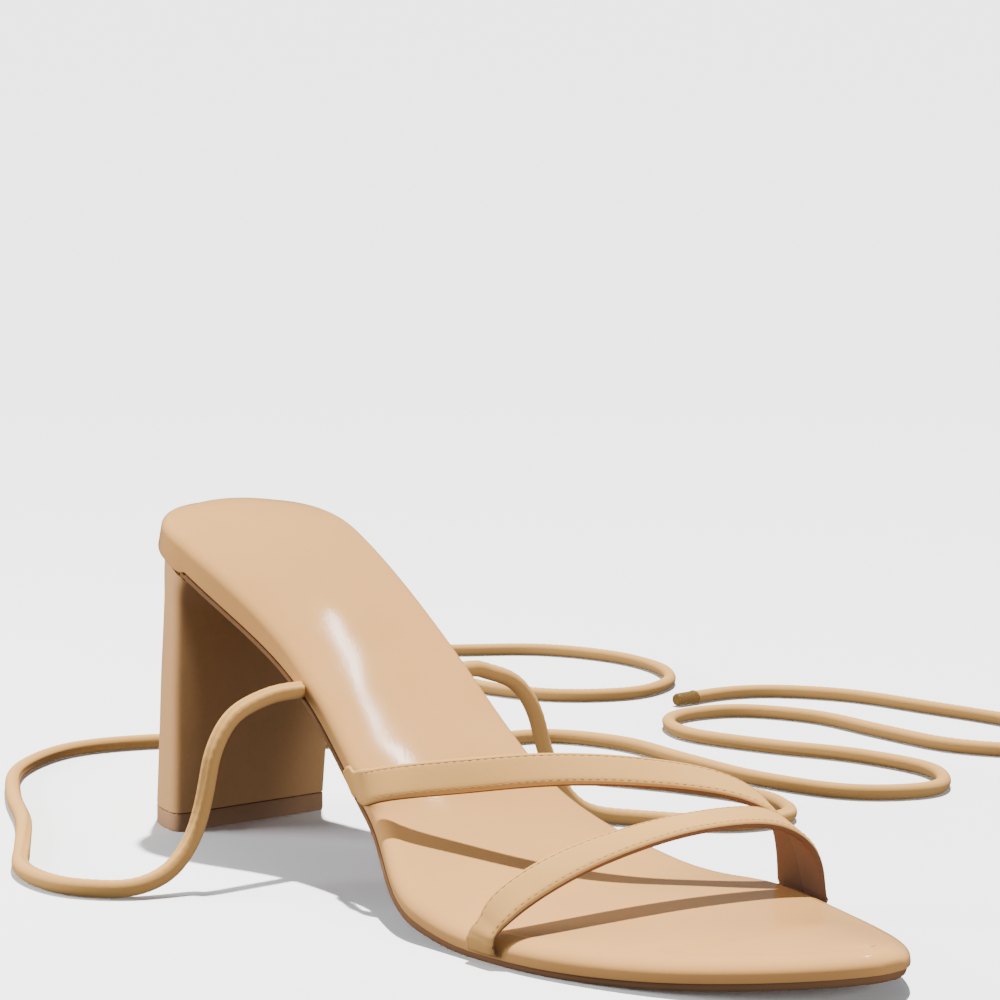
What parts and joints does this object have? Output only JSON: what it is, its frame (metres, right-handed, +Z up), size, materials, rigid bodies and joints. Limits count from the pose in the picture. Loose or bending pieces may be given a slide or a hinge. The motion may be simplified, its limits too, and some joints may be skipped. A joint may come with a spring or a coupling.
{
  "type": "lace up heeled sandal",
  "caption": "Right sandal with a padded footbed, crossing toe straps, a D-shaped block heel and long rolled ankle ties with metal tips.",
  "frame": {"origin": "on the floor, below the middle of the shoe's bounding box without the ties", "axes": "+Z up, -Y towards the toe, +X towards the inner side of the right foot"},
  "size_m": [0.3321, 0.3976, 0.0785],
  "materials": {
    "footbed": "smooth semi-gloss synthetic leather, light beige",
    "outsole": "matt moulded sheet, tan",
    "heel": "smooth semi-gloss synthetic leather wrap, light beige",
    "heel_cap": "matt top piece, tan",
    "straps": "smooth synthetic leather with edge stitching, light beige",
    "tie": "rolled synthetic leather with one lengthwise seam, light beige",
    "aglet": "polished pale gold"
  },
  "bodies": {
    "root": {"footbed": "footbed", "outsole": "outsole", "heel": "heel", "heel_cap": "heel_cap", "straps": "straps", "tie_lateral": "tie", "tie_medial": "tie", "aglet_lateral": "aglet", "aglet_medial": "aglet"}
  },
  "joints": []
}
